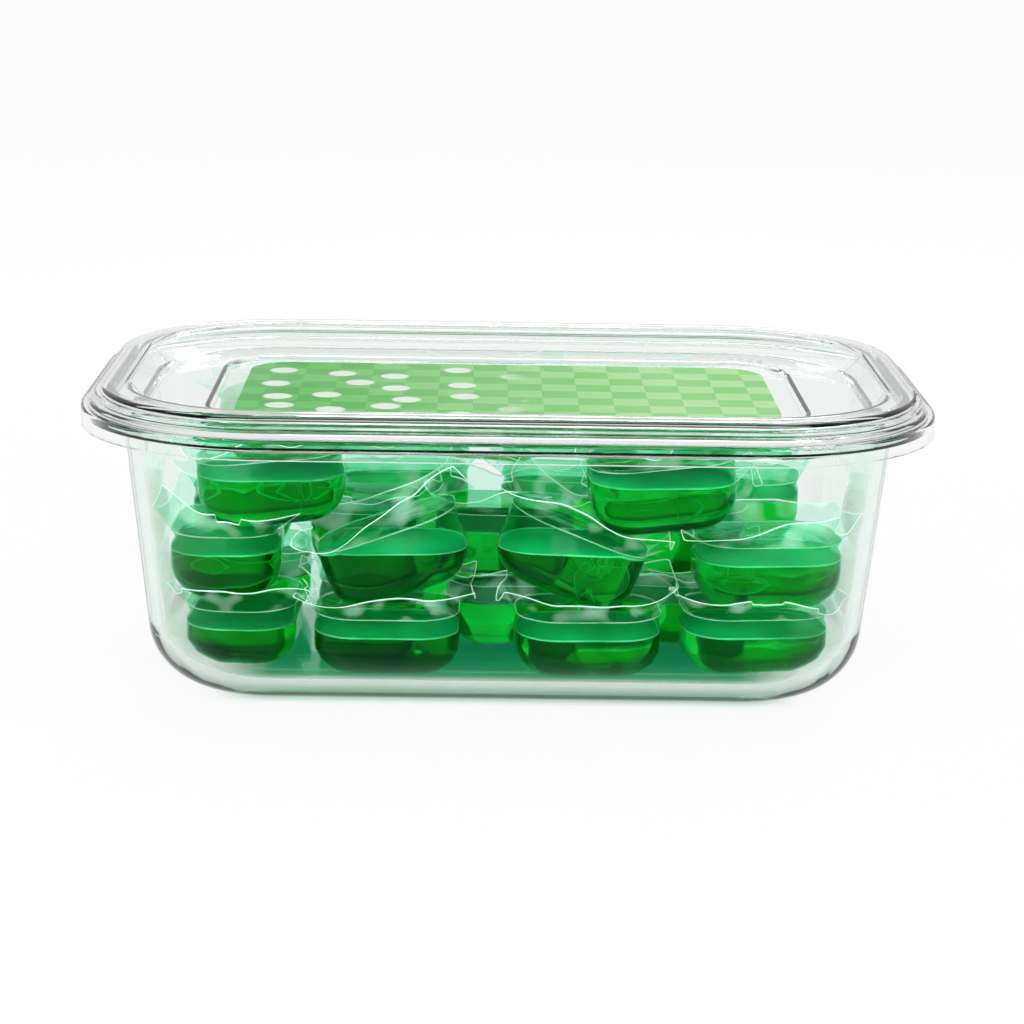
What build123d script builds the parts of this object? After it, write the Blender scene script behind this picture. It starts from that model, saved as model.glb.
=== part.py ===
from build123d import *
import math
import os
from itertools import product

import numpy as np

# A clear lidded tub filled with gel capsules. Its long side lies along X and it stands on Z = 0. Millimetres.

# Tub, over the outside of its wall just under the rim
tub_length = 153.4
tub_width = 99.4
tub_corner_radius = 29.8
tub_height = 59.4
wall = 2.2
wall_draft = 6.1
floor_thickness = 3.0
base_radius = 13.0
foot_width = 3.0
foot_height = 0.8

# Rim of the tub: a shoulder, an upstand on it and a lip that carries the lid
rim_step = 3.4
shoulder_rise = 2.0
upstand_height = 2.6
lip_reach = 3.2
lip_thickness = 1.8
rim_edge_radius = 0.7

# Lid, one wall thickness throughout
lid_wall = 1.4
lid_edge_radius = 1.8
lid_fold_radius = 0.5
skirt_drop = 3.6
recess_depth = 4.5
recess_slope = 4.0
panel_border = 11.5
well_depth = 0.8
skirt_clearance = 0.4
channel_clearance = 1.0
seat_clearance = 0.3

# Printed label in the well of the lid
label_end_margin = 4.5
label_side_margin = 3.5
label_corner_radius = 9.0
label_thickness = 0.2

# One capsule: a deep film tray under a flat film top, sealed together at a flared collar
capsule_length = 29.0
capsule_width = 22.0
capsule_corner_radius = 8.5
tray_depth = 14.0
tray_radius = 7.5
top_height = 1.0
top_radius = 0.8
film = 0.3
seal_reach = 1.5
seal_rise = 1.6
gel_gap = 0.05
gel_below_seal = 4.2

# The heap of capsules, each let down near its place with a small lean and a small shift
capsule_gap = 0.3
headspace = 1.0
cell = 0.5
shifts = (0, 1.0, -1.0, 2.0, -2.0)
leans = (0, 5, -5)

# Each capsule's place by row and layer: columns along X, rows along Y (front row -1), turn and tilt in degrees
heap_plan = (
    ((-1.45, -0.63, 88, 0), (-0.65, -0.92, 0, 0), (0.45, -0.92, 3, 0), (1.34, -0.86, 6, 0)),
    ((-0.76, -0.02, 90, 0), (0.06, -0.02, 3, 0), (1, 0, -4, 0)),
    ((-1.45, 0.57, 93, 0), (-0.55, 0.97, -4, 0), (0.42, 0.93, 5, 0), (1.34, 0.86, -6, 0)),
    ((-1.54, -0.65, 92, 0), (-0.66, -0.93, 3, -24), (0.4, -0.93, -5, 26), (1.42, -0.86, 6, 5)),
    ((-0.8, 0, 88, 0), (0, 0, -4, 0), (0.98, 0.02, 5, 0)),
    ((-1.54, 0.58, 87, 0), (-0.62, 0.97, 3, 0), (0.38, 0.93, -5, 0), (1.39, 0.9, -7, 0)),
    ((-1.27, -0.93, 5, 0), (0.88, -0.93, 6, 0)),
    ((-1.25, 0.94, -5, 0), (-0.16, 0.96, 6, 0), (0.84, 0.96, -3, 0)),
)

# Heights and outlines that follow from the sizes above
draft_slope = math.tan(math.radians(wall_draft))
lip_top = tub_height - upstand_height
lip_foot = lip_top - lip_thickness
shoulder_foot = lip_foot - shoulder_rise
base_edge = -shoulder_foot * draft_slope
base_end = base_edge - base_radius
lid_crown = tub_height + seat_clearance + lid_wall
ledge_top = lip_top + seat_clearance + lid_wall
skirt_foot = lip_top - skirt_drop
skirt_face = rim_step + lip_reach + skirt_clearance + lid_wall
ring_face = rim_step + channel_clearance + lid_wall
recess_edge = rim_step - wall - channel_clearance - lid_wall
panel_edge = recess_edge - recess_slope
panel_top = lid_crown - recess_depth
well_edge = panel_edge - panel_border
well_floor_edge = well_edge - well_depth
well_top = panel_top - well_depth
well_underside = well_top - lid_wall


def outline(edge):
    """Plan of the tub's outline, grown by the given distance."""
    return RectangleRounded(tub_length + 2 * edge, tub_width + 2 * edge, tub_corner_radius + edge)


def carried_round(section, length, width, radius):
    """Carries a wall section, drawn as distance out and height, round a rounded rectangle."""
    ring = Part()
    for turn, across, along in ((0, length, width), (90, width, length), (180, length, width), (270, width, length)):
        straight = along - 2 * radius
        start = Plane((across / 2, straight / 2, 0), x_dir=(1, 0, 0), z_dir=(0, -1, 0))
        pivot = Axis((across / 2 - radius, straight / 2, 0), (0, 0, 1))
        side = extrude(start * section, straight)
        corner = revolve(start * section, pivot, 90)
        ring += Rot(0, 0, turn) * (side + corner)
    return ring


def rounded(section, corner, radius):
    """Rounds one corner of a wall section."""
    return fillet(section.vertices().sort_by_distance((*corner, 0))[0], radius)


def make_tub():
    """Tapered tub with a rounded base, a foot ring and a stepped rim."""
    inner_foot = (-wall - (lip_foot - floor_thickness) * draft_slope, floor_thickness)
    section = make_face(
        Polyline(
            (base_end, 0),
            (base_edge, 0),
            (0, shoulder_foot),
            (rim_step, lip_foot),
            (rim_step + lip_reach, lip_foot),
            (rim_step + lip_reach, lip_top),
            (rim_step, lip_top),
            (rim_step, tub_height),
            (rim_step - wall, tub_height),
            (rim_step - wall, lip_foot + shoulder_rise),
            (-wall, lip_foot),
            inner_foot,
            (base_end, floor_thickness),
            close=True,
        )
    )
    section = rounded(section, (base_edge, 0), base_radius)
    section = rounded(section, inner_foot, base_radius - wall)
    for reach, height in ((rim_step + lip_reach, lip_top), (rim_step, tub_height), (rim_step - wall, tub_height)):
        section = rounded(section, (reach, height), rim_edge_radius)
    tub = carried_round(section, tub_length, tub_width, tub_corner_radius)
    tub += extrude(outline(base_end), floor_thickness)
    return tub - extrude(outline(base_end - foot_width), foot_height)


def parallel(points, distance):
    """Line of points at a distance to the right of another one."""
    steps = [Vector(b) - Vector(a) for a, b in zip(points, points[1:])]
    normals = [step.rotate(Axis.Z, -90).normalized() for step in steps]
    shifted = []
    for point, before, after in zip(points, [normals[0], *normals], [*normals, normals[-1]]):
        shifted.append(Vector(point) + (before + after) * (distance / (1 + before.dot(after))))
    return shifted


def make_lid():
    """Snap-on lid: skirt, ledge and raised ring outside, recessed panel with a label well inside."""
    path = (
        (well_floor_edge - well_depth, well_top),
        (well_floor_edge, well_top),
        (well_edge, panel_top),
        (panel_edge, panel_top),
        (recess_edge, lid_crown),
        (ring_face, lid_crown),
        (ring_face, ledge_top),
        (skirt_face, ledge_top),
        (skirt_face, skirt_foot),
    )
    edge, fold = lid_edge_radius, lid_fold_radius
    inner_edge, outer_fold = max(edge - lid_wall, 0), fold + lid_wall
    top = FilletPolyline(path, radius=(fold, fold, fold, edge, edge, fold, edge))
    underside = FilletPolyline(
        parallel(path, lid_wall),
        radius=(outer_fold, 0, outer_fold, inner_edge, inner_edge, outer_fold, inner_edge),
    )
    section = make_face([*top.edges(), Line(top @ 1, underside @ 1), *underside.edges(), Line(underside @ 0, top @ 0)])
    lid = carried_round(section, tub_length, tub_width, tub_corner_radius)
    return lid + Pos(0, 0, well_underside) * extrude(outline(well_floor_edge), lid_wall)


def make_label():
    """Thin printed label on the floor of the lid's well."""
    length = tub_length + 2 * (well_floor_edge - label_end_margin)
    width = tub_width + 2 * (well_floor_edge - label_side_margin)
    return Pos(0, 0, well_top) * extrude(RectangleRounded(length, width, label_corner_radius), label_thickness)


def pouch(inset):
    """Tray and top of a capsule, drawn in from the outside of its film."""
    plan = RectangleRounded(
        capsule_length - 2 * inset, capsule_width - 2 * inset, capsule_corner_radius - inset
    )
    tray = extrude(plan, inset - tray_depth)
    tray = fillet(tray.faces().sort_by(Axis.Z)[0].edges(), tray_radius - inset)
    top = extrude(plan, top_height - inset)
    top = fillet(top.faces().sort_by(Axis.Z)[-1].edges(), top_radius - inset)
    return tray + top


def make_film():
    """Film of a capsule, sealed all round at its collar."""
    collar = make_face(
        Polyline(
            (-film, 0),
            (0, 0),
            (seal_reach, seal_rise),
            (seal_reach, seal_rise + film),
            (0, film),
            (-film, film),
            close=True,
        )
    )
    shell = pouch(0) - pouch(film)
    return shell + carried_round(collar, capsule_length, capsule_width, capsule_corner_radius)


def inside_of(x, y, length, width, radius):
    """How far points lie inside a rounded rectangle, less than nothing outside it."""
    past_x = np.abs(x) - (length / 2 - radius)
    past_y = np.abs(y) - (width / 2 - radius)
    beyond = np.hypot(np.maximum(past_x, 0), np.maximum(past_y, 0))
    return radius - beyond - np.minimum(np.maximum(past_x, past_y), 0)


def edge_lift(inside, radius):
    """How far a rounded edge rises at a distance inside its outline."""
    left = radius - np.clip(inside, 0, radius)
    return radius - np.sqrt(radius**2 - left**2)


def empty_tub():
    """Height of the tub's inside over a grid of cells, as a start for the heap."""
    x = np.arange(-tub_length / 2, tub_length / 2, cell)
    y = np.arange(-tub_width / 2, tub_width / 2, cell)
    inside = inside_of(*np.meshgrid(x, y, indexing="ij"), tub_length, tub_width, tub_corner_radius)
    past_wall = inside - wall - (lip_foot - floor_thickness) * draft_slope
    floor = floor_thickness + edge_lift(past_wall, base_radius - wall)
    return np.maximum(floor, floor_thickness - past_wall / draft_slope)


def capsule_skin():
    """Points under, over and along the side of one capsule, close enough to find where it touches."""
    step = cell / 2
    reach = seal_reach + capsule_gap
    across = np.arange(-capsule_length / 2 - reach, capsule_length / 2 + reach, step)
    along = np.arange(-capsule_width / 2 - reach, capsule_width / 2 + reach, step)
    x, y = (grid.ravel() for grid in np.meshgrid(across, along))
    inside = inside_of(x, y, capsule_length, capsule_width, capsule_corner_radius)
    kept = inside > -reach
    x, y, inside = x[kept], y[kept], inside[kept]
    collar = np.minimum(-inside / seal_reach, 1) * seal_rise
    body = inside >= -capsule_gap
    under = np.where(body, edge_lift(inside, tray_radius) - tray_depth, collar)
    over = np.where(body, top_height - edge_lift(inside, top_radius), collar + film)
    side = np.abs(inside) < capsule_gap
    points = [np.stack([x, y, under]), np.stack([x, y, over])]
    for height in np.arange(tray_radius - tray_depth, 0, step):
        points.append(np.stack([x[side], y[side], np.full(side.sum(), height)]))
    return np.concatenate(points, axis=1)


def stood(points, place):
    """Column and row of the cells that points fall in once they stand at a place, and their heights."""
    frame = Plane(place)
    axes = np.array([tuple(frame.x_dir), tuple(frame.y_dir), tuple(frame.z_dir)])
    x, y, z = axes.T @ points
    column = np.floor((x + place.position.X + tub_length / 2) / cell).astype(int)
    row = np.floor((y + place.position.Y + tub_width / 2) / cell).astype(int)
    return column, row, z + place.position.Z


def let_down(ground, skin, x, y, turn, tilt):
    """Lets a capsule down near its place, with the shift and lean at which it sinks lowest."""
    lowest = None
    moves = [round(shift / cell) for shift in shifts]
    for lean_x, lean_y in product(leans, leans):
        place = Location((x, y, 0), (lean_x, tilt + lean_y, turn))
        column, row, height = stood(skin, place)
        for move_x, move_y in product(moves, moves):
            rest = float(np.max(ground[column + move_x, row + move_y] - height)) + capsule_gap
            if lowest is None or rest < lowest.position.Z - film / 2:
                lowest = Pos(move_x * cell, move_y * cell, rest) * place
    return lowest


def fill_tub():
    """Places of all the capsules, let down one after another, up to the headspace under the lid."""
    seal_inset = wall + (lip_foot - floor_thickness - tray_depth - seal_rise) * draft_slope
    columns = (tub_length - 2 * seal_inset - capsule_length - 2 * seal_reach) / 3
    rows = (tub_width - 2 * seal_inset - capsule_width - 2 * seal_reach) / 2
    ground = empty_tub()
    skin = capsule_skin()
    places = []
    for column, row, turn, tilt in (site for layer in heap_plan for site in layer):
        place = let_down(ground, skin, column * columns, row * rows, turn, tilt)
        *cells, tops = stood(skin, place)
        if tops.max() < well_underside - headspace:
            np.maximum.at(ground, tuple(cells), tops)
            places.append(place)
    return places


def make_gel(place):
    """Gel in a capsule at its place, with a level surface some way under the seal."""
    whole = place * pouch(film + gel_gap)
    level = Plane((place * Pos(0, 0, -gel_below_seal)).position)
    return split(whole, level, Keep.BOTTOM)


def main():
    os.makedirs("parts", exist_ok=True)
    pieces = {"tub": make_tub(), "lid": make_lid(), "label": make_label()}
    film_pouch = make_film()
    for number, place in enumerate(fill_tub(), 1):
        pieces[f"capsule_{number:02d}_film"] = place * film_pouch
        pieces[f"capsule_{number:02d}_gel"] = make_gel(place)
    for name, piece in pieces.items():
        export_step(piece, f"parts/{name}.step")


main()
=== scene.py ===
import math

import bpy
import numpy as np
from mathutils import Matrix, Vector
from mathutils.bvhtree import BVHTree


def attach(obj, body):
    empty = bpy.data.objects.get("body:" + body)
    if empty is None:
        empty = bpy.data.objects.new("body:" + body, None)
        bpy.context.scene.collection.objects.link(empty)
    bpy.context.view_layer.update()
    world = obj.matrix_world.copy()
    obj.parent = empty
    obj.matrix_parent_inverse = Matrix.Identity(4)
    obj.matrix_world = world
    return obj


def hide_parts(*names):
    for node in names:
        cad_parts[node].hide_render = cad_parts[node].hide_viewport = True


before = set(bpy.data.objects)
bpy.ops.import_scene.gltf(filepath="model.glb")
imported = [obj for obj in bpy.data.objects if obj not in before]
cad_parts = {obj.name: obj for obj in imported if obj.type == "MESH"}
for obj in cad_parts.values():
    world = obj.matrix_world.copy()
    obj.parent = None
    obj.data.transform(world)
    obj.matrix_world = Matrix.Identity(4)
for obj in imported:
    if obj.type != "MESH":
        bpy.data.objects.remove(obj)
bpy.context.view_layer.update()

# Sizes in metres
MM = 0.001

# One capsule: film tray and slack film top on a rounded rectangle, the seal plane at height 0
CAPSULE_LENGTH = 29.0 * MM
CAPSULE_WIDTH = 22.0 * MM
CORNER_RADIUS = 8.5 * MM
TRAY_DEPTH = 14.0 * MM
TRAY_RADIUS = 7.5 * MM
TOP_HEIGHT = 0.9 * MM

# Rings of the film: a bowl, a neck of even rings up to the seal, and a top that closes over the middle
FILM_STEPS_ROUND = 144
BASE_SHARES = (0.35, 0.7)
BOWL_RINGS = 15
NECK_RINGS = 13
NECK_HEIGHT = 5.0 * MM
TOP_INSETS = np.array([0.25, 0.6, 1.2, 2.2, 3.6, 5.4, 7.4]) * MM
TOP_RISE = (0.12, 0.9)
TOP_SHARES = (0.66, 0.3)
TOP_FALL = 0.9

# Slack of the film: pleats at the seal, faint dents, a waist between gel and seal, and a sagging top
PLEAT_DEPTH = 0.15 * MM
PLEAT_FADE = 2.2 * MM
PLEAT_ONSET = 3.0
DENT_DEPTH = 0.0125 * MM
WAIST = 0.9 * MM
WAIST_SHARE = 0.6
WAIST_SPREAD = 0.24
WAIST_RANGE = (0.1, 1.2)
WAIST_OVER_GEL = 0.5 * MM
WAIST_ROOM = 3.0 * MM
TOP_SAG = 0.12
TOP_LEAST = 0.2

# Gel: a gap to the film, its level under the seal, and the meniscus that creeps up the film
GEL_STEPS_ROUND = 112
GEL_GAP = 0.12 * MM
GEL_BELOW_SEAL = 4.2 * MM
GEL_CEILING = -0.25 * MM
GEL_WALL_RINGS = 12
GEL_WALL_END = 0.96
GEL_BASE_SHARES = (0.7, 0.5)
GEL_TOP_SHARES = (0.6, 0.25)
MENISCUS_RISE = 0.7 * MM
MENISCUS_REACH = 0.9 * MM
MENISCUS_LINE = 0.5 * MM
MENISCUS_INSETS = np.array([0.12, 0.35, 0.7, 1.2, 1.9, 3.0, 5.0, 7.5]) * MM

# Sealed flap round each capsule, cut from a rectangular web
FLAP_STEPS_ROUND = 288
FLAP_SHARES = (0, 0.06, 0.18, 0.35, 0.55, 0.78, 1)
FLAP_WIDTH = 5.0 * MM
FLAP_UNEVEN = 0.5 * MM
FLAP_THICKNESS = 0.09 * MM
FLAP_ROOT = 0.12 * MM
FLAP_LEAN = math.radians(62)
FLAP_CORNER_DROP = math.radians(18)
FLAP_LEAN_SPREAD = 0.24
FLAP_CURL = 0.55
FLAP_RIPPLE = 0.35 * MM
FLAP_EDGE = 0.35 * MM
FLAP_EDGE_LIMIT = 0.4
CRIMP_PITCH = 1.3 * MM
CRIMP_HEIGHT = 0.07 * MM
CRIMP_FULL = 1 / 6
CRIMP_END = 0.6
# Share of white at the weld and at the cut edge: the weld is milky, the cut edge's white is a painted
# highlight, and both carry the flap's painted glow
WELD_WHITE_AND_GLOW = 0.5
EDGE_HIGHLIGHT = 0.95

# Room for a flap: what it keeps clear, and how many lines on each side share and smooth a cut
FLAP_UNCUT = 1.0
FLAP_CLEARANCE = 0.3 * MM
FLAP_LEAST = 0.12 * MM
FLAP_TRIES = 4
CUT_SHARED = 4
CUT_SMOOTHED = 3
NEIGHBOUR_REACH = 1.9 * CAPSULE_LENGTH
TINY = 1e-12

# Gel: what it takes out of light on its way through
GEL_TINT = (0.0, 0.952, 0.48, 1)
GEL_DENSITY = 200.0
GEL_CLOUD = 0.62

# Label: checks and bubbles to the metre, the run over which it pales and the one over which bubbles end
CHECK_SCALE = 140.0
BUBBLE_SCALE = 75.0
BUBBLE_RADIUS = (0.2, 0.24)
PALE_RUN = (-45 * MM, 35 * MM)
BUBBLE_RUN = (5 * MM, -5 * MM)

# Floor: how white it looks to the camera and through glass, and a painted green shadow under the tub, where
# the gel's green light falls
FLOOR_HALF = 6.0
FLOOR_HEIGHT = -0.2 * MM
FLOOR_IN_VIEW = 0.9
FLOOR_IN_GLASS = 0.5
PAINTED_SHADOW_COLOUR = (0.01, 0.38, 0.15, 1)
PAINTED_SHADOW_SIDES = (60 * MM, 46 * MM)
PAINTED_SHADOW_FRONT = (-39 * MM, -30 * MM)
PAINTED_SHADOW_BACK = (37 * MM, 25 * MM)

# Surroundings: bright, but dim past a share of the way to the left and right
SKY_LEVEL = 0.84
SIDE_LEVEL = 0.15
SIDE_RUN = (0.55, 0.95)

# Lamps: name, place, size and watts, all facing one point
LAMP_AIM = Vector((0, 0, 0.03))
LAMPS = (
    ("key", (-0.4, -0.7, 0.34), (0.05, 0.09), 1.7),
    ("fill", (0.45, -0.65, 0.3), (0.05, 0.08), 0.9),
    ("back", (0.1, 0.6, 0.6), (0.4, 0.15), 1.2),
)

# Camera, from the photograph's perspective, with its sensor in Blender's millimetres
IMAGE_PIXELS = 1024
FOCAL_PIXELS = 2770.0
CAMERA_DISTANCE = 580.0 * MM
CAMERA_PITCH = math.radians(13.6)
CAMERA_YAW = math.radians(0.74)
CAMERA_ROLL = math.radians(0.97)
CAMERA_NEAR = 10.0 * MM
AIM = Vector((1.32 * MM, 0.0, 30.09 * MM))
SENSOR = 36.0

# Bounces that clear pieces behind clear pieces need
BOUNCES = {
    "transparent_max_bounces": 24,
    "transmission_bounces": 13,
    "glossy_bounces": 8,
    "diffuse_bounces": 2,
    "max_bounces": 16,
}

rng = np.random.default_rng(28)


# Shapes


def capsule_outline(steps):
    """Even points round a capsule's outline: corner centres, outward directions, distances and total run."""
    straight_x, straight_y = CAPSULE_LENGTH / 2 - CORNER_RADIUS, CAPSULE_WIDTH / 2 - CORNER_RADIUS
    quarter = math.pi / 2 * CORNER_RADIUS
    total = 4 * (straight_x + straight_y) + 4 * quarter
    distance = np.arange(steps) / steps * total
    centres = np.zeros((steps, 2))
    outward = np.zeros((steps, 2))
    sides = (
        (straight_y, (straight_x, straight_y)),
        (straight_x, (-straight_x, straight_y)),
        (straight_y, (-straight_x, -straight_y)),
        (straight_x, (straight_x, -straight_y)),
    )
    begin = 0.0
    for turn, (half, corner) in enumerate(sides):
        facing = turn * math.pi / 2
        normal = np.array([math.cos(facing), math.sin(facing)])
        along = np.array([-normal[1], normal[0]])
        on_side = (distance >= begin) & (distance < begin + 2 * half)
        offset = distance[on_side, None] - begin - half
        centres[on_side] = np.array(corner) - along * half + along * offset
        outward[on_side] = normal
        begin += 2 * half
        on_arc = (distance >= begin) & (distance < begin + quarter)
        angle = facing + (distance[on_arc] - begin) / CORNER_RADIUS
        centres[on_arc] = corner
        outward[on_arc] = np.stack([np.cos(angle), np.sin(angle)], 1)
        begin += quarter
    return centres, outward, distance, total


def wavy(distance, total, waves, amplitude):
    """Smooth closed random wave round an outline, made of a few whole numbers of waves."""
    wave = np.zeros_like(distance)
    for count in waves:
        wave += rng.normal() * np.sin(2 * math.pi * count * distance / total + rng.uniform(0, 2 * math.pi))
    return amplitude * wave / math.sqrt(len(waves))


def quads(rings, steps, closed=False):
    """Quads between successive rings of points, which also join the last ring to the first when closed."""
    faces = []
    for ring in range(rings if closed else rings - 1):
        low = ring * steps
        high = (ring + 1) % rings * steps
        for k in range(steps):
            after = (k + 1) % steps
            faces.append((low + k, low + after, high + after, high + k))
    return faces


def capped(rings):
    """Vertices and faces of a closed skin over rings of points, with a point in the middle of each end."""
    count, steps, _ = rings.shape
    points = np.concatenate([rings.reshape(-1, 3), rings[:1].mean(1), rings[-1:].mean(1)])
    faces = quads(count, steps)
    bottom, top, last = count * steps, count * steps + 1, (count - 1) * steps
    for k in range(steps):
        after = (k + 1) % steps
        faces.append((after, k, bottom))
        faces.append((last + k, last + after, top))
    return points, faces


def in_world(points, pose):
    """Points of a capsule's own frame in the world."""
    return points @ pose[:3, :3].T + pose[:3, 3]


def mesh_arrays(name):
    """Vertices and triangles of a CAD node."""
    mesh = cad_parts[name].data
    mesh.calc_loop_triangles()
    points = np.zeros(len(mesh.vertices) * 3)
    mesh.vertices.foreach_get("co", points)
    triangles = np.zeros(len(mesh.loop_triangles) * 3, int)
    mesh.loop_triangles.foreach_get("vertices", triangles)
    return points.reshape(-1, 3), triangles.reshape(-1, 3)


def search_tree(points, faces):
    """Tree that finds where rays meet a mesh, and the lowest and highest corner of the mesh's box."""
    return BVHTree.FromPolygons(points.tolist(), np.asarray(faces).tolist()), points.min(0), points.max(0)


def capsule_pose(points, triangles):
    """Pose of a capsule from its film: principal axes of its surface, height last and upwards."""
    corners = points[triangles]
    first, second = corners[:, 1] - corners[:, 0], corners[:, 2] - corners[:, 0]
    area = np.linalg.norm(np.cross(first, second), axis=1) / 2
    middle = corners.mean(1)
    centre = (area[:, None] * middle).sum(0) / area.sum()
    # A triangle's spread goes as that of its corners and nine times that of its middle
    spread = np.einsum("t,tvi,tvj->ij", area, corners - centre, corners - centre)
    spread += 9 * np.einsum("t,ti,tj->ij", area, middle - centre, middle - centre)
    axes = np.linalg.eigh(spread)[1]
    up = axes[:, 0] * np.sign(axes[2, 0])
    # Of the length's two ways, the one towards the right and back, with the back counting double
    along = axes[:, 2] * np.sign(axes[0, 2] + 2 * axes[1, 2])
    turned = np.stack([along, np.cross(up, along), up], 1)
    local = (points - centre) @ turned
    seal_middle = (local.min(0) + local.max(0)) / 2
    seal_middle[2] = local[:, 2].min() + TRAY_DEPTH
    pose = np.eye(4)
    pose[:3, :3] = turned
    pose[:3, 3] = centre + turned @ seal_middle
    return pose


def tray_inset(height, gap):
    """Distance in from the capsule's outline to its tray at a height."""
    radius = TRAY_RADIUS - gap
    below = np.clip(TRAY_RADIUS - TRAY_DEPTH - height, 0, radius)
    return gap + radius - np.sqrt(radius**2 - below**2)


def gel_level(places, pose, rise):
    """Height of the gel at places in a capsule: level in the world, with a rise, and under the seal."""
    slope = -pose[2, :2] / pose[2, 2]
    return np.minimum(places @ slope - GEL_BELOW_SEAL + rise, GEL_CEILING)


def film_rings(pose):
    """Rings of a capsule's film: tray, a waist above the gel, then the slack top, pleated at the seal."""
    centres, outward, distance, total = capsule_outline(FILM_STEPS_ROUND)
    bowl = np.linspace(0, 1, BOWL_RINGS, endpoint=False) ** 2 * (TRAY_DEPTH - NECK_HEIGHT) - TRAY_DEPTH
    tray = np.concatenate([bowl, np.linspace(-NECK_HEIGHT, 0, NECK_RINGS)])
    inset = np.concatenate([tray_inset(tray, 0), TOP_INSETS])
    height = np.concatenate([tray, TOP_HEIGHT * np.sqrt(np.linspace(*TOP_RISE, len(TOP_INSETS)))])
    pleats = np.abs(wavy(distance, total, (19, 26, 31, 36), PLEAT_DEPTH))
    dents = np.abs(wavy(distance, total, (3, 4, 5, 7), DENT_DEPTH))
    slack = WAIST * (WAIST_SHARE + wavy(distance, total, (2, 3, 4), WAIST_SPREAD)).clip(*WAIST_RANGE)
    sag = np.abs(wavy(distance, total, (2, 3, 5), TOP_SAG))
    gel_edge = gel_level(centres + outward * CORNER_RADIUS, pose, MENISCUS_RISE + WAIST_OVER_GEL)
    room = np.minimum(1, -gel_edge / WAIST_ROOM)
    base = centres + outward * (CORNER_RADIUS - inset[0])
    rings = [np.column_stack([base * share, np.full(len(base), height[0])]) for share in BASE_SHARES]
    for d, z in zip(inset, height):
        if z < 0:
            above_gel = np.clip(1 - z / gel_edge, 0, 1)
            waist = slack * np.sin(math.pi * above_gel)
            pleated = pleats * np.minimum(1, PLEAT_ONSET * above_gel)
            lift = np.full(FILM_STEPS_ROUND, z)
        else:
            waist, pleated = 0.0, pleats
            lift = z * (1 - sag).clip(TOP_LEAST, 1)
        sunk = room * (pleated * math.exp(-abs(z) / PLEAT_FADE) + waist) + dents
        ring = centres + outward * (CORNER_RADIUS - d - sunk)[:, None]
        rings.append(np.column_stack([ring, lift]))
    for share in TOP_SHARES:
        rings.append(np.column_stack([rings[-1][:, :2] * share, rings[-1][:, 2] * TOP_FALL]))
    return np.array(rings)


def gel_rings(pose):
    """Rings of the gel in a capsule, up its tray and in over its level top, and how many are on the tray."""
    centres, outward, _, _ = capsule_outline(GEL_STEPS_ROUND)
    top = gel_level(centres + outward * (CORNER_RADIUS - GEL_GAP), pose, MENISCUS_RISE)
    bottom = GEL_GAP - TRAY_DEPTH
    shares = np.linspace(0, GEL_WALL_END, GEL_WALL_RINGS) ** 2
    rings = []
    for share in [*shares, 1 - MENISCUS_LINE / TRAY_DEPTH, 1]:
        height = bottom + share * (top - bottom)
        ring = centres + outward * (CORNER_RADIUS - tray_inset(height, GEL_GAP))[:, None]
        rings.append(np.column_stack([ring, height]))
    for share in GEL_BASE_SHARES:
        rings.insert(0, np.column_stack([rings[0][:, :2] * share, rings[0][:, 2]]))
    wall_rings = len(rings)
    for d in MENISCUS_INSETS:
        inset = np.minimum(tray_inset(top, GEL_GAP) + d, CORNER_RADIUS - GEL_GAP)
        ring = centres + outward * (CORNER_RADIUS - inset)[:, None]
        rise = MENISCUS_RISE * math.exp(-d / MENISCUS_REACH)
        rings.append(np.column_stack([ring, gel_level(ring, pose, rise)]))
    for share in GEL_TOP_SHARES:
        ring = rings[-1][:, :2] * share
        rings.append(np.column_stack([ring, gel_level(ring, pose, 0.0)]))
    return np.array(rings), wall_rings


def flap_lines(room):
    """Middle of the flap's film, step by step out from the seal, with its length cut to the room it has."""
    centres, outward, distance, total = capsule_outline(FLAP_STEPS_ROUND)
    corner = np.abs(outward).min(1) * math.sqrt(2)
    width = FLAP_WIDTH + wavy(distance, total, (1, 2, 3), FLAP_UNEVEN)
    web = (CORNER_RADIUS + width) / np.abs(outward).max(1) - CORNER_RADIUS
    start = FLAP_LEAN - FLAP_CORNER_DROP * corner + wavy(distance, total, (2, 3, 4, 5), FLAP_LEAN_SPREAD)
    curl = wavy(distance, total, (2, 3, 4, 6), FLAP_CURL)
    ripple = wavy(distance, total, (4, 5, 7, 9), FLAP_RIPPLE)
    crimp = CRIMP_HEIGHT * np.sin(2 * math.pi * np.round(total / CRIMP_PITCH) * distance / total)
    length = np.minimum(web, room)
    ripple = ripple * np.minimum(1, length / FLAP_WIDTH)
    rim = 1 - np.minimum(FLAP_EDGE, FLAP_EDGE_LIMIT * length) / length
    shares = np.array([share * rim for share in FLAP_SHARES] + [np.ones_like(rim)])
    out, up, lines = np.zeros(FLAP_STEPS_ROUND), np.zeros(FLAP_STEPS_ROUND), []
    for before, share in zip([shares[0], *shares], shares):
        angle = start + curl * share
        out = out + (share - before) * length * np.cos(angle)
        up = up + (share - before) * length * np.sin(angle)
        sealed = crimp * np.minimum(1, share / CRIMP_FULL) * (share < CRIMP_END)
        ring = centres + outward * (CORNER_RADIUS - FLAP_ROOT + out)[:, None]
        lines.append(np.column_stack([ring, up + ripple * share**1.5 + sealed]))
    return np.array(lines)


def ray_hits(trees, start, way, reach):
    """Distances at which a ray meets pieces within its reach."""
    hits = (tree.ray_cast(Vector(start), way.normalized(), reach)[3] for tree in trees)
    return [hit for hit in hits if hit is not None]


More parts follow.
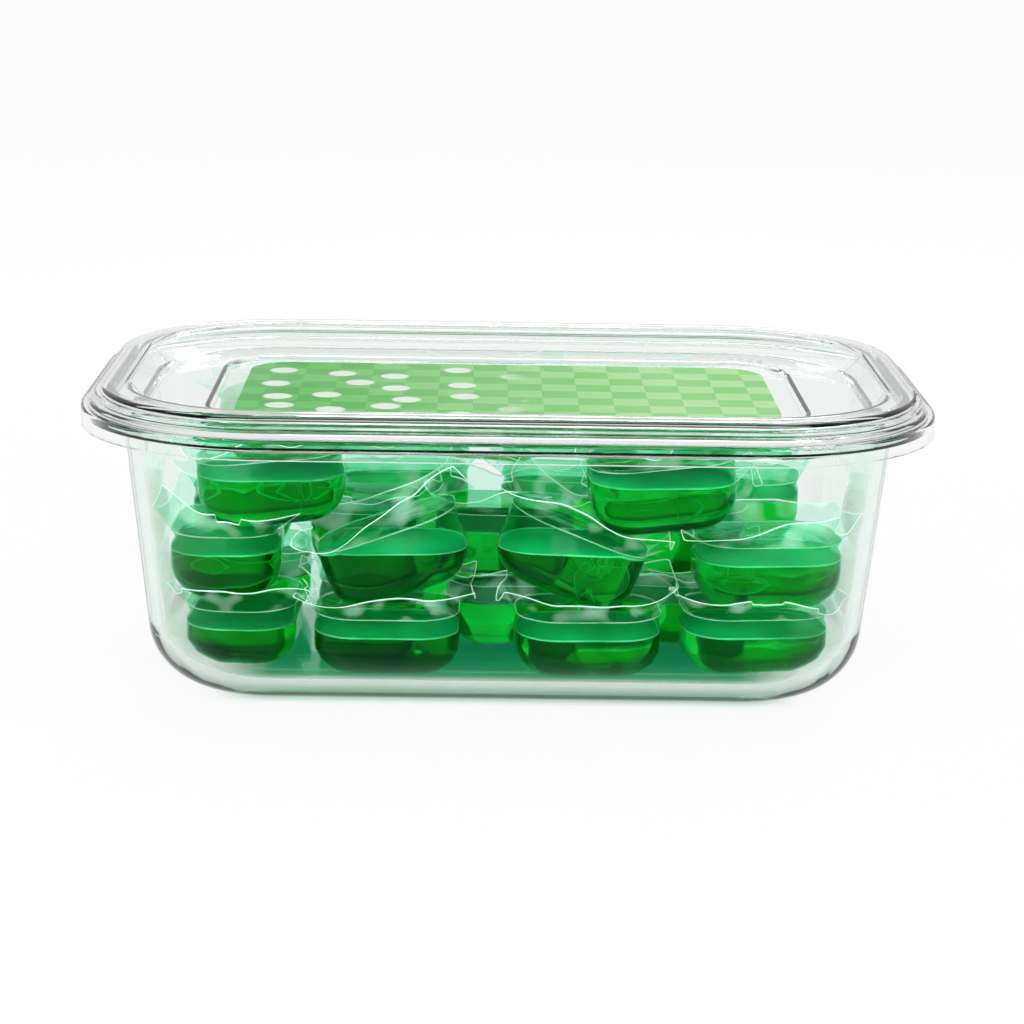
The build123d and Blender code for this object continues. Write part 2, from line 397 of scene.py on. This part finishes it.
def free_room(lines, pose, pieces):
    """Length of each line of a flap before it, or the film on to the next line, meets another piece."""
    world = in_world(lines, pose)
    following = np.roll(world, -1, 1)
    both = np.concatenate([world, following])
    low, high = both.min(0)[:, None] - FLAP_CLEARANCE, both.max(0)[:, None] + FLAP_CLEARANCE
    boxes = np.array([box for _, *box in pieces])
    close = ((low < boxes[:, 1]) & (boxes[:, 0] < high)).all(2)
    room = np.full(FLAP_STEPS_ROUND, FLAP_UNCUT)
    for k in range(FLAP_STEPS_ROUND):
        trees = [pieces[piece][0] for piece in np.flatnonzero(close[k])]
        run = 0.0
        for a, b, beside in zip(world[:-1, k], world[1:, k], following[1:, k]):
            step, aside = Vector(b - a), Vector(beside - b)
            met = ray_hits(trees, a, step, step.length + FLAP_CLEARANCE)
            if ray_hits(trees, b, aside, aside.length):
                met.append(0.0)
            if met:
                room[k] = max(run + min(met) - FLAP_CLEARANCE, FLAP_LEAST)
                break
            run += step.length
    least = np.min([np.roll(room, shift) for shift in range(-CUT_SHARED, CUT_SHARED + 1)], axis=0)
    return np.mean([np.roll(least, shift) for shift in range(-CUT_SMOOTHED, CUT_SMOOTHED + 1)], axis=0)


def flap_skin(lines):
    """Points and faces of a flap's closed skin, a film thickness thick, and how white it is at each point:
    milky at the weld, a painted highlight at the cut edge.
    """
    across = np.gradient(lines, axis=0)
    round_it = np.roll(lines, -1, 1) - np.roll(lines, 1, 1)
    normal = np.cross(round_it, across)
    normal /= np.linalg.norm(normal, axis=2, keepdims=True) + TINY
    outer = lines + normal * FLAP_THICKNESS / 2
    inner = lines - normal * FLAP_THICKNESS / 2
    both = np.concatenate([outer, inner[::-1]])
    white = np.zeros(len(both))
    white[[0, -1]] = WELD_WHITE_AND_GLOW
    white[len(lines) - 1 : len(lines) + 1] = EDGE_HIGHLIGHT
    faces = quads(len(both), FLAP_STEPS_ROUND, closed=True)
    return both.reshape(-1, 3), faces, np.repeat(white, FLAP_STEPS_ROUND)


def fitted_flap(pose, near):
    """Flap of a capsule, cut in a few tries to clear the pieces near it, with the same waves each time."""
    state = rng.bit_generator.state
    room = np.full(FLAP_STEPS_ROUND, FLAP_UNCUT)
    for _ in range(FLAP_TRIES):
        rng.bit_generator.state = state
        room = np.minimum(room, free_room(flap_lines(room), pose, near))
    rng.bit_generator.state = state
    return flap_skin(flap_lines(room))


# Materials


def new_material(name):
    """Empty node material."""
    material = bpy.data.materials.new(name)
    material.use_nodes = True
    material.node_tree.nodes.clear()
    return material


def node(owner, kind, links=None, **values):
    """Adds a node to a material or world, with values on its sockets by name and links from other sockets."""
    made = owner.node_tree.nodes.new(kind)
    for key, value in values.items():
        setattr(made, key, value)
    for key, value in (links or {}).items():
        if isinstance(value, bpy.types.NodeSocket):
            owner.node_tree.links.new(value, made.inputs[key])
        else:
            made.inputs[key].default_value = value
    return made


def finished(material, surface, volume=None):
    """The material, with its surface and what fills it linked to its output."""
    links = {"Surface": surface}
    if volume is not None:
        links["Volume"] = volume
    node(material, "ShaderNodeOutputMaterial", links)
    return material


def maths(owner, operation, *values, **options):
    """Result of one operation on values."""
    return node(owner, "ShaderNodeMath", dict(enumerate(values)), operation=operation, **options).outputs[0]


def way_between(owner, value, run, **options):
    """Share of the way, from 0 to 1, that a value has come along a run."""
    links = {"Value": value, "From Min": run[0], "From Max": run[1]}
    return node(owner, "ShaderNodeMapRange", links, **options).outputs[0]


def mixed_colour(material, share, first, second):
    """Colour between two others."""
    links = {"Factor": share, 6: first, 7: second}
    return node(material, "ShaderNodeMix", links, data_type="RGBA").outputs[2]


def mixed_shader(material, share, first, second):
    """Shader between two others."""
    return node(material, "ShaderNodeMixShader", {0: share, 1: first, 2: second}).outputs[0]


def principled(material, links):
    """Surface with the values that are given, and the usual ones for the rest."""
    return node(material, "ShaderNodeBsdfPrincipled", links).outputs[0]


def transparent(material, colour):
    """Surface that lets light straight through."""
    return node(material, "ShaderNodeBsdfTransparent", {"Color": colour}).outputs[0]


def absorbing(material, colour, density):
    """Filling that takes colour out of light."""
    links = {"Color": colour, "Density": density}
    return node(material, "ShaderNodeVolumeAbsorption", links).outputs[0]


def place_on(material):
    """Place on the object itself, in metres."""
    return node(material, "ShaderNodeTexCoord").outputs["Object"]


def noise(material, scale):
    """Smooth noise over the object, with a scale of waves to the metre."""
    links = {"Vector": place_on(material), "Scale": scale, "Detail": 0.0}
    return node(material, "ShaderNodeTexNoise", links).outputs["Fac"]


def ramp(material, factor, *stops):
    """Colour ramp with stops of place and colour."""
    made = node(material, "ShaderNodeValToRGB", {"Fac": factor})
    elements = made.color_ramp.elements
    while len(elements) < len(stops):
        elements.new(0.5)
    for element, (place, colour) in zip(elements, stops):
        element.position, element.color = place, (*colour, 1)
    return made.outputs["Color"]


def clear_plastic(name, tint, density, glare):
    """Clear moulding with faint flow waves and a tint that shows along its edges. Lamps reach inside."""
    material = new_material(name)
    waves = {"Height": noise(material, 50.0), "Strength": 0.03, "Distance": 0.4 * MM}
    surface = principled(
        material,
        {
            "Base Color": (1, 1, 1, 1),
            "Roughness": 0.0,
            "IOR": 1.46,
            "Transmission Weight": 1.0,
            "Specular Tint": (glare, glare, glare, 1),
            "Normal": node(material, "ShaderNodeBump", waves).outputs["Normal"],
        },
    )
    lamps = node(material, "ShaderNodeLightPath").outputs["Is Shadow Ray"]
    open_way = transparent(material, (0.93, 0.97, 0.95, 1))
    mixed = mixed_shader(material, lamps, surface, open_way)
    return finished(material, mixed, absorbing(material, (*tint, 1), density))


def gel_material(name, colour, roughness, ior, through, glare):
    """Deep green gel: cloudy in places, and darker the more of it is looked through."""
    material = new_material(name)
    shade = tuple(GEL_CLOUD * part for part in colour)
    surface = principled(
        material,
        {
            "Base Color": ramp(material, noise(material, 60.0), (0.3, shade), (0.7, colour)),
            "Roughness": roughness,
            "IOR": ior,
            "Transmission Weight": through,
            "Specular Tint": (glare, glare, glare, 1),
        },
    )
    return finished(material, surface, absorbing(material, GEL_TINT, GEL_DENSITY))


def film_material():
    """Film of a tray and top: clear, green from the gel that clings to it, and a mirror at a glance."""
    material = new_material("film")
    cling = ramp(material, noise(material, 120.0), (0.35, (0.36, 0.84, 0.58)), (0.65, (0.58, 0.95, 0.76)))
    glance = node(material, "ShaderNodeFresnel", {"IOR": 1.3}).outputs[0]
    inside = node(material, "ShaderNodeNewGeometry").outputs["Backfacing"]
    limit = node(material, "ShaderNodeMapRange", {"Value": inside, "To Min": 1.0, "To Max": 0.45}).outputs[0]
    share = maths(material, "MULTIPLY", glance, limit)
    mirror = principled(material, {"Base Color": (0.12, 0.85, 0.5, 1), "Metallic": 1.0, "Roughness": 0.0})
    return finished(material, mixed_shader(material, share, transparent(material, cling), mirror))


def flap_material():
    """Welded flap of a capsule: clear, milky in patches and at its weld, with a painted highlight along its
    cut edge, and a painted glow wherever it is white.
    """
    material = new_material("flap")
    edge = node(material, "ShaderNodeAttribute", attribute_name="edge").outputs["Fac"]
    patches = ramp(material, noise(material, 230.0), (0.52, (0.0,) * 3), (0.8, (0.16,) * 3))
    share = maths(material, "ADD", edge, patches, use_clamp=True)
    surface = principled(
        material,
        {
            "Base Color": (0.75, 1.0, 0.88, 1),
            "Roughness": 0.12,
            "IOR": 1.5,
            # Painted glow on the white parts, standing in for light that the film's cut edge gathers
            "Emission Color": (0.7, 1.0, 0.86, 1),
            "Emission Strength": 0.3,
        },
    )
    through = transparent(material, (0.86, 0.98, 0.93, 1))
    return finished(material, mixed_shader(material, share, through, surface))


def label_material():
    """Printed label: green checks that pale to one side, and white bubbles, with no words or picture."""
    material = new_material("label_print")
    place = place_on(material)
    along = node(material, "ShaderNodeSeparateXYZ", {0: place}).outputs["X"]
    deep, pale = (
        node(
            material,
            "ShaderNodeTexChecker",
            {"Vector": place, "Color1": first, "Color2": second, "Scale": CHECK_SCALE},
        ).outputs["Color"]
        for first, second in (
            ((0.015, 0.4, 0.015, 1), (0.05, 0.5, 0.04, 1)),
            ((0.2, 0.64, 0.13, 1), (0.4, 0.78, 0.3, 1)),
        )
    )
    ground = mixed_colour(material, way_between(material, along, PALE_RUN), deep, pale)
    cells = node(
        material,
        "ShaderNodeTexVoronoi",
        {"Vector": place, "Scale": BUBBLE_SCALE, "Randomness": 0.7},
        voronoi_dimensions="2D",
    ).outputs["Distance"]
    bubbles = ramp(material, cells, (BUBBLE_RADIUS[0], (0.85,) * 3), (BUBBLE_RADIUS[1], (0.0,) * 3))
    shown = maths(material, "MULTIPLY", bubbles, way_between(material, along, BUBBLE_RUN))
    surface = principled(
        material,
        {
            "Base Color": mixed_colour(material, shown, ground, (0.9, 0.95, 0.88, 1)),
            "Roughness": ramp(material, noise(material, 50.0), (0.3, (0.25,) * 3), (0.7, (0.38,) * 3)),
            "IOR": 1.25,
        },
    )
    return finished(material, surface)


def floor_material():
    """White ground, which glass shows too, with a soft shadow, and a painted green shadow under the tub where
    the gel's green light falls.
    """
    material = new_material("floor")
    path = node(material, "ShaderNodeLightPath").outputs
    glass = maths(material, "MAXIMUM", path["Is Glossy Ray"], path["Is Transmission Ray"])
    dimmed = maths(material, "MULTIPLY", glass, FLOOR_IN_GLASS)
    seen = maths(material, "MULTIPLY", path["Is Camera Ray"], FLOOR_IN_VIEW)
    parts = node(material, "ShaderNodeSeparateXYZ", {0: place_on(material)}).outputs
    sideways = maths(material, "ABSOLUTE", parts["X"])
    # Painted green shadow: a soft patch under the tub, in both the floor's colour and the white it shows
    painted_shadow = 1.0
    for value, run in ((sideways, PAINTED_SHADOW_SIDES), (parts["Y"], PAINTED_SHADOW_FRONT), (parts["Y"], PAINTED_SHADOW_BACK)):
        soft = way_between(material, value, run, interpolation_type="SMOOTHSTEP")
        painted_shadow = maths(material, "MULTIPLY", painted_shadow, soft)
    grain = ramp(material, noise(material, 8.0), (0.0, (0.88,) * 3), (1.0, (0.9,) * 3))
    ground_and_painted_shadow = mixed_colour(material, painted_shadow, grain, PAINTED_SHADOW_COLOUR)
    glow_and_painted_shadow = mixed_colour(material, painted_shadow, (1, 1, 1, 1), PAINTED_SHADOW_COLOUR)
    plain = node(material, "ShaderNodeBsdfDiffuse", {"Color": ground_and_painted_shadow}).outputs[0]
    white = node(material, "ShaderNodeEmission", {"Color": glow_and_painted_shadow, "Strength": 1.0}).outputs[0]
    share = maths(material, "MAXIMUM", dimmed, seen)
    return finished(material, mixed_shader(material, share, plain, white))


# Pieces


def placed(name, points, faces, pose, materials, attributes=None):
    """New smooth mesh piece at a pose, riding on the tub."""
    mesh = bpy.data.meshes.new(name)
    mesh.from_pydata(in_world(points, pose).tolist(), [], faces)
    mesh.polygons.foreach_set("use_smooth", [True] * len(mesh.polygons))
    for key, values in (attributes or {}).items():
        mesh.attributes.new(key, "FLOAT", "POINT").data.foreach_set("value", values)
    for material in materials:
        mesh.materials.append(material)
    piece = bpy.data.objects.new(name, mesh)
    bpy.context.scene.collection.objects.link(piece)
    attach(piece, "tub")
    return piece


def dress(piece, material, faces):
    """Gives some faces of a piece another of its materials."""
    for face in faces:
        piece.data.polygons[face].material_index = material


def add_skin(name, pose, flap, materials):
    """Film of a capsule with its flap, in place of the CAD one."""
    flap_points, flap_faces, white = flap
    pouch, pouch_faces = capped(film_rings(pose))
    faces = pouch_faces + [tuple(v + len(pouch) for v in face) for face in flap_faces]
    points = np.concatenate([pouch, flap_points])
    # Share of white on each point: milky at the weld, a painted highlight along the flap's cut edge
    edges = {"edge": np.concatenate([np.zeros(len(pouch)), white])}
    skin = placed(name + ".skin", points, faces, pose, materials, edges)
    dress(skin, 1, range(len(pouch_faces), len(faces)))
    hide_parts(name + "_film")


def add_fill(name, pose, materials):
    """Gel of a capsule in place of the CAD one, with painted light on its level top and a painted highlight
    on the rim of its meniscus.
    """
    rings, wall_rings = gel_rings(pose)
    points, faces = capped(rings)
    fill = placed(name + ".fill", points, faces, pose, materials)
    caps = (len(rings) - 1) * GEL_STEPS_ROUND
    # Top faces get the paler copy of the gel, as painted light, and the meniscus rim the painted highlight
    dress(fill, 1, range(wall_rings * GEL_STEPS_ROUND, caps))
    dress(fill, 1, range(caps + 1, len(faces), 2))
    dress(fill, 2, range((wall_rings - 2) * GEL_STEPS_ROUND, (wall_rings + 1) * GEL_STEPS_ROUND))
    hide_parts(name + "_gel")


def dress_capsules():
    """Film and gel of every capsule, each flap cut at the mouldings, other films and earlier flaps."""
    skin_materials = [film_material(), flap_material()]
    fill_materials = [
        gel_material("gel", (0.8, 1.0, 0.88), 0.0, 1.36, 1.0, 0.05),
        # A paler, less clear copy of the gel as painted light on its level top, and a bright one as a painted
        # highlight on its meniscus rim
        gel_material("gel_top_painted_light", (0.0, 0.9, 0.36), 0.1, 1.15, 0.15, 0.3),
        gel_material("gel_rim_painted_highlight", (0.3, 1.0, 0.62), 0.25, 1.5, 0.1, 1.0),
    ]
    names = sorted(name[: -len("_film")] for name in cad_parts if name.endswith("_film"))
    arrays = {name: mesh_arrays(name + "_film") for name in names}
    poses = {name: capsule_pose(*arrays[name]) for name in names}
    trees = {name: [search_tree(*arrays[name])] for name in names}
    around = [search_tree(*mesh_arrays(name)) for name in ("tub", "lid")]
    for name in names:
        pose = poses[name]
        near = list(around)
        for other in names:
            apart = np.linalg.norm(poses[other][:3, 3] - pose[:3, 3])
            if other != name and apart < NEIGHBOUR_REACH:
                near += trees[other]
        flap = fitted_flap(pose, near)
        trees[name].append(search_tree(in_world(flap[0], pose), flap[1]))
        add_skin(name, pose, flap, skin_materials)
        add_fill(name, pose, fill_materials)


def paint(name, material):
    """Gives a CAD node its material."""
    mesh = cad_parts[name].data
    mesh.materials.clear()
    mesh.materials.append(material)


def add_floor():
    """Wide floor under the object."""
    turns = ((-1, -1), (1, -1), (1, 1), (-1, 1))
    corners = [(x * FLOOR_HALF, y * FLOOR_HALF, FLOOR_HEIGHT) for x, y in turns]
    mesh = bpy.data.meshes.new("floor")
    mesh.from_pydata(corners, [], [(0, 1, 2, 3)])
    mesh.materials.append(floor_material())
    floor = bpy.data.objects.new("floor", mesh)
    bpy.context.scene.collection.objects.link(floor)


def add_lamp(name, place, size, watts):
    """Soft box that faces the object."""
    light = bpy.data.lights.new(name, "AREA")
    light.shape = "RECTANGLE"
    light.size, light.size_y = size
    light.energy = watts
    lamp = bpy.data.objects.new(name, light)
    lamp.location = place
    lamp.rotation_euler = (LAMP_AIM - Vector(place)).to_track_quat("-Z", "Y").to_euler()
    bpy.context.scene.collection.objects.link(lamp)


def add_world():
    """White surroundings, dim to the left and right, which draws the clear edges."""
    world = bpy.data.worlds.new("studio")
    bpy.context.scene.world = world
    world.use_nodes = True
    background = world.node_tree.nodes["Background"]
    background.inputs["Color"].default_value = (1, 1, 1, 1)
    direction = node(world, "ShaderNodeTexCoord").outputs["Generated"]
    across = node(world, "ShaderNodeSeparateXYZ", {0: direction}).outputs["X"]
    levels = {
        "Value": maths(world, "ABSOLUTE", across),
        "From Min": SIDE_RUN[0],
        "From Max": SIDE_RUN[1],
        "To Min": SKY_LEVEL,
        "To Max": SIDE_LEVEL,
    }
    level = node(world, "ShaderNodeMapRange", levels).outputs[0]
    world.node_tree.links.new(level, background.inputs["Strength"])


def add_camera():
    """Camera at the photograph's angle."""
    camera = bpy.data.cameras.new("camera")
    camera.sensor_width = SENSOR
    camera.lens = SENSOR * FOCAL_PIXELS / IMAGE_PIXELS
    camera.clip_start = CAMERA_NEAR
    forward = Vector((0, math.cos(CAMERA_PITCH), -math.sin(CAMERA_PITCH)))
    up = Vector((0, math.sin(CAMERA_PITCH), math.cos(CAMERA_PITCH)))
    right = Vector((1, 0, 0))
    rolled_right = right * math.cos(CAMERA_ROLL) + up * math.sin(CAMERA_ROLL)
    rolled_up = up * math.cos(CAMERA_ROLL) - right * math.sin(CAMERA_ROLL)
    pose = Matrix.Identity(4)
    for column, axis in enumerate((rolled_right, rolled_up, -forward)):
        for row in range(3):
            pose[row][column] = axis[row]
    pose.translation = AIM - forward * CAMERA_DISTANCE
    holder = bpy.data.objects.new("camera", camera)
    holder.matrix_world = Matrix.Rotation(-CAMERA_YAW, 4, "Z") @ pose
    bpy.context.scene.collection.objects.link(holder)
    bpy.context.scene.camera = holder


paint("tub", clear_plastic("clear_tub", (0.35, 0.85, 0.62), 24.0, 0.03))
paint("lid", clear_plastic("clear_lid", (0.6, 0.85, 0.74), 10.0, 0.25))
paint("label", label_material())
dress_capsules()
add_floor()
add_world()
for lamp in LAMPS:
    add_lamp(*lamp)
add_camera()
bpy.context.scene.view_settings.view_transform = "Standard"
for setting, count in BOUNCES.items():
    setattr(bpy.context.scene.cycles, setting, count)
